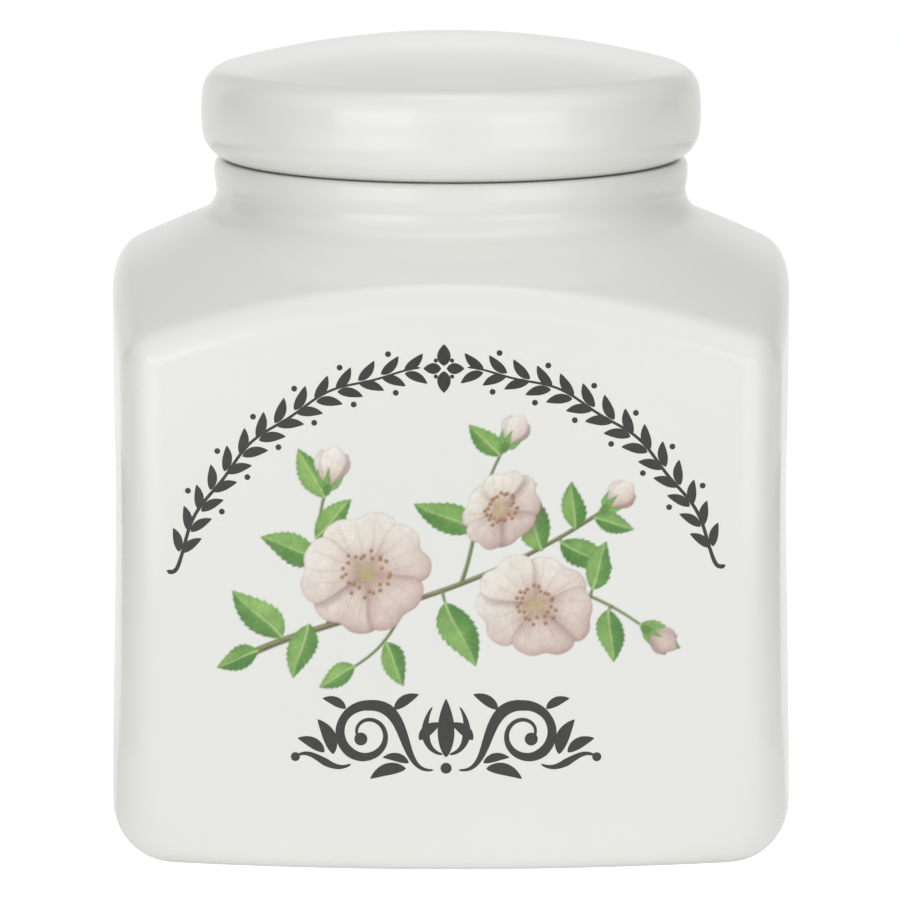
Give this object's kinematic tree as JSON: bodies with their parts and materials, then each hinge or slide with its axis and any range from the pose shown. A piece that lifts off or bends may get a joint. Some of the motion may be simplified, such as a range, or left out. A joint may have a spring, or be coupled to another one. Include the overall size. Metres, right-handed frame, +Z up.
{
  "type": "garlic keeper canister",
  "caption": "Square white porcelain canister with bowed faces, a sloping shoulder and a round neck, closed by a thick round domed lid that plugs the mouth through a soft seal ring.",
  "frame": {"origin": "middle of the base, on the surface that the foot ring stands on", "axes": "+Z up through the neck and the lid; -Y is the front face, with the print; +X to the right seen from the front"},
  "size_m": [0.12, 0.12, 0.1391],
  "materials": {
    "jar_porcelain": "gloss white glaze, bare foot ring",
    "lid_porcelain": "gloss white glaze",
    "seal": "satin translucent silicone"
  },
  "bodies": {
    "jar": {"jar_body": "jar_porcelain"},
    "lid": {"lid": "lid_porcelain", "lid_gasket": "seal"}
  },
  "joints": [
    {"name": "lid_lift", "type": "slide", "parent": "jar", "child": "lid", "axis": [0, 0, 1], "range_m": [0, 0.09]}
  ]
}
